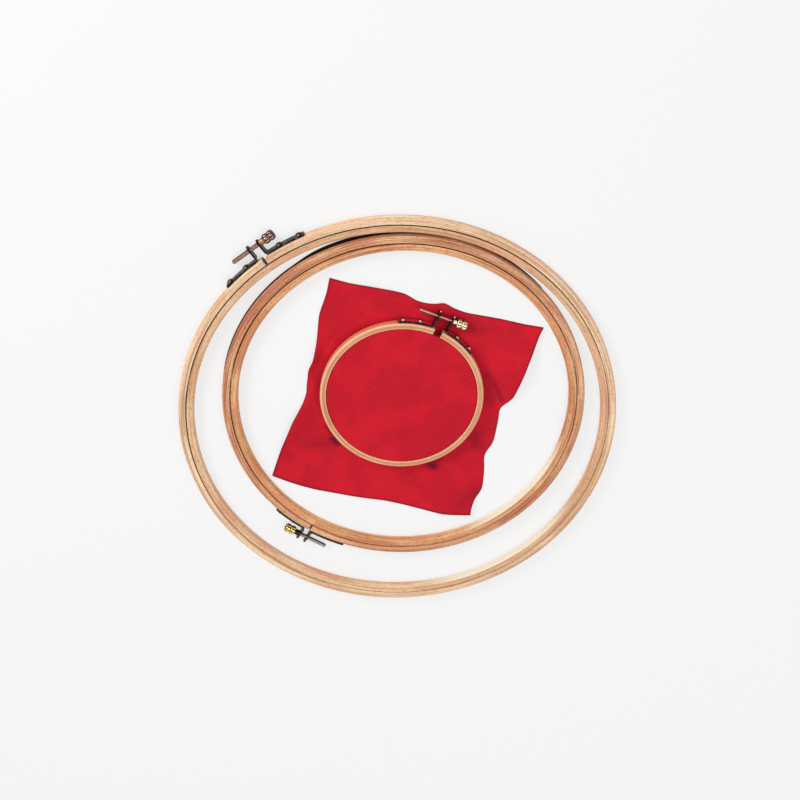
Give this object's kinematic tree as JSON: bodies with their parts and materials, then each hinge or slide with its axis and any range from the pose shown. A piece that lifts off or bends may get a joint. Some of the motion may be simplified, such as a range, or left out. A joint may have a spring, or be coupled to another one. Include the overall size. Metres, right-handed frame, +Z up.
{
  "type": "embroidery hoop set",
  "caption": "Nested wooden embroidery hoops: closed inner rings in split outer rings with bracketed thumb screws, the smallest holding a stretched cloth.",
  "frame": {"origin": "middle of the large hoop, on the surface that the hoops lie on", "axes": "+Z up out of the hoops' plane; +X and +Y are the picture's right and up, as seen from above"},
  "size_m": [0.3062, 0.3062, 0.0074],
  "materials": {
    "large_beech": "pale steam-bent beech, sanded and waxed, fine straight grain along the ring",
    "medium_beech": "reddish steam-bent beech, sanded and waxed, streaky grain with dark pores",
    "small_beech": "pale yellow beech, sanded and waxed",
    "bracket_steel": "blackened steel strip, satin, worn bright along the edges",
    "rivet_steel": "bronzed round rivet heads, satin",
    "bronzed_screw": "dark copper-brown bronzed thumb screw, worn on the knurls",
    "brass_screw": "bright golden brass thumb screw",
    "red_cloth": "red evenweave cotton with small regular holes, matt"
  },
  "bodies": {
    "root": {"large_inner_ring": "large_beech", "medium_inner_ring": "medium_beech", "small_inner_ring": "small_beech", "embroidery_cloth": "red_cloth"},
    "large_outer": {"large_outer_ring_head_half": "large_beech", "large_head_bracket": "bracket_steel", "large_head_rivet_1": "rivet_steel", "large_head_rivet_2": "rivet_steel"},
    "large_far_end": {"large_outer_ring_far_half": "large_beech", "large_far_bracket": "bracket_steel", "large_far_rivet_1": "rivet_steel", "large_far_rivet_2": "rivet_steel"},
    "large_screw": {"large_thumb_screw": "bronzed_screw"},
    "medium_outer": {"medium_outer_ring_head_half": "medium_beech", "medium_head_bracket": "bracket_steel", "medium_head_rivet_1": "rivet_steel", "medium_head_rivet_2": "rivet_steel"},
    "medium_far_end": {"medium_outer_ring_far_half": "medium_beech", "medium_far_bracket": "bracket_steel", "medium_far_rivet_1": "rivet_steel", "medium_far_rivet_2": "rivet_steel"},
    "medium_screw": {"medium_thumb_screw": "brass_screw"},
    "small_outer": {"small_outer_ring_head_half": "small_beech", "small_head_bracket": "bracket_steel", "small_head_rivet_1": "rivet_steel", "small_head_rivet_2": "rivet_steel"},
    "small_far_end": {"small_outer_ring_far_half": "small_beech", "small_far_bracket": "bracket_steel", "small_far_rivet_1": "rivet_steel", "small_far_rivet_2": "rivet_steel"},
    "small_screw": {"small_thumb_screw": "brass_screw"}
  },
  "joints": [
    {"name": "large_lift", "type": "slide", "parent": "root", "child": "large_outer", "axis": [0, 0, 1], "range_m": [0, 0.03]},
    {"name": "large_screw_turn", "type": "hinge", "parent": "large_outer", "child": "large_screw", "pos_m": [-0.09023, 0.13479, 0.00325], "axis": [0.8161, 0.5779, 0], "range_deg": [0, 4320]},
    {"name": "large_open", "type": "hinge", "parent": "large_outer", "child": "large_far_end", "pos_m": [0.08378, -0.12515, 0.00325], "axis": [0, 0, 1], "range_deg": [0, 1.09]},
    {"name": "medium_lift", "type": "slide", "parent": "root", "child": "medium_outer", "axis": [0, 0, 1], "range_m": [0, 0.03]},
    {"name": "medium_screw_turn", "type": "hinge", "parent": "medium_outer", "child": "medium_screw", "pos_m": [-0.07228, -0.09552, 0.00325], "axis": [-0.8368, 0.5476, 0], "range_deg": [0, 3600]},
    {"name": "medium_open", "type": "hinge", "parent": "medium_outer", "child": "medium_far_end", "pos_m": [0.07589, 0.11453, 0.00325], "axis": [0, 0, 1], "range_deg": [0, 1]},
    {"name": "small_lift", "type": "slide", "parent": "root", "child": "small_outer", "axis": [0, 0, 1], "range_m": [0, 0.03]},
    {"name": "small_screw_turn", "type": "hinge", "parent": "small_outer", "child": "small_screw", "pos_m": [0.03496, 0.07667, 0.00415], "axis": [0.91, -0.4147, 0], "range_deg": [0, 3600]},
    {"name": "small_open", "type": "hinge", "parent": "small_outer", "child": "small_far_end", "pos_m": [-0.02272, -0.02958, 0.00415], "axis": [0, 0, 1], "range_deg": [0, 1.89]}
  ],
  "couplings": [
    {"joint": "large_screw_turn", "follows": "large_open", "ratio": 3930.8},
    {"joint": "medium_screw_turn", "follows": "medium_open", "ratio": 3589.1},
    {"joint": "small_screw_turn", "follows": "small_open", "ratio": 1899.1}
  ]
}
